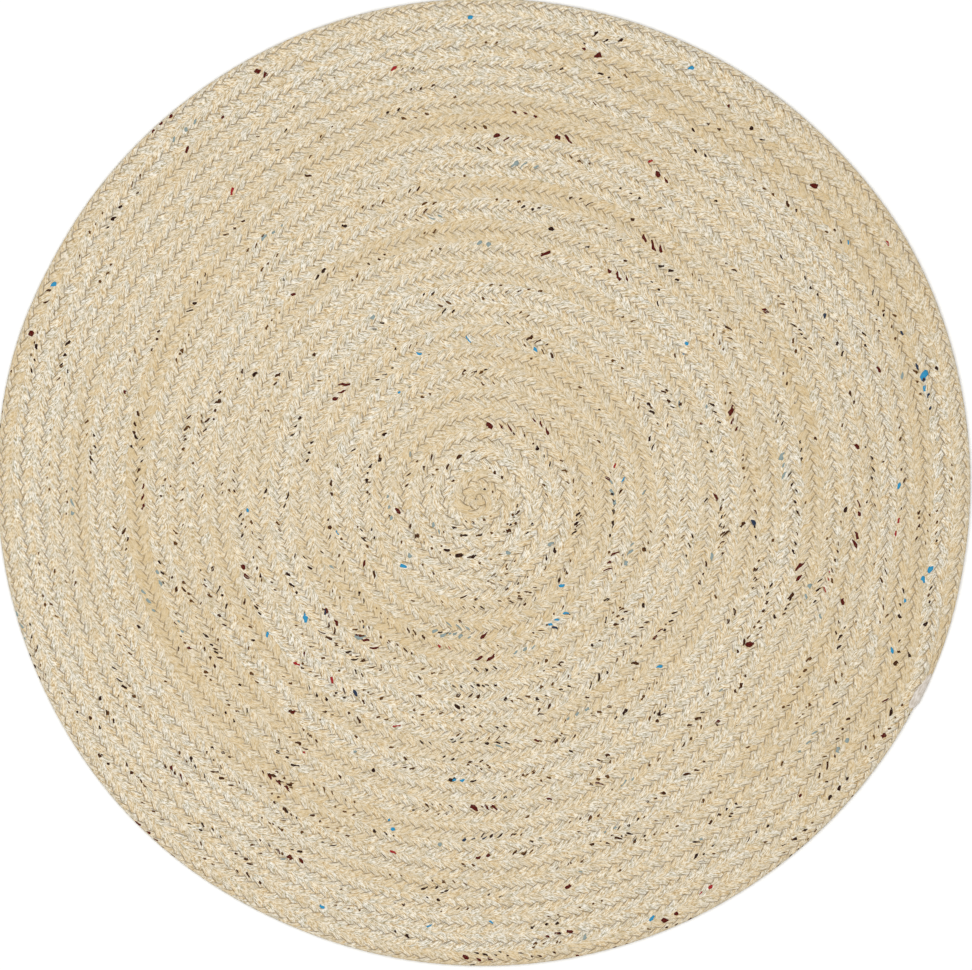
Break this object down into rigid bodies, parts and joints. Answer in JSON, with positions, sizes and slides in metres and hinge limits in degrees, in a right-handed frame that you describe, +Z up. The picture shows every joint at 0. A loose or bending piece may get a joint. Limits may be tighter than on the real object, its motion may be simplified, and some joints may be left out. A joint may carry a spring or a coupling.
{
  "type": "round braided jute rug",
  "caption": "Round flat floor rug: a three-strand plait of bleached jute, coiled from an eye and sewn edge to edge, with flecks of coloured scrap in the strands.",
  "frame": {"origin": "middle of the flat underside, on the floor", "axes": "+Z up out of the rug's face; +Y towards the edge that is uppermost in the picture; +X towards the picture's right"},
  "size_m": [1.5041, 1.4945, 0.01],
  "materials": {
    "bleached_jute": "matt bleached jute plait with coloured flecks"
  },
  "bodies": {
    "root": {"jute_plait_coil": "bleached_jute"}
  },
  "joints": []
}
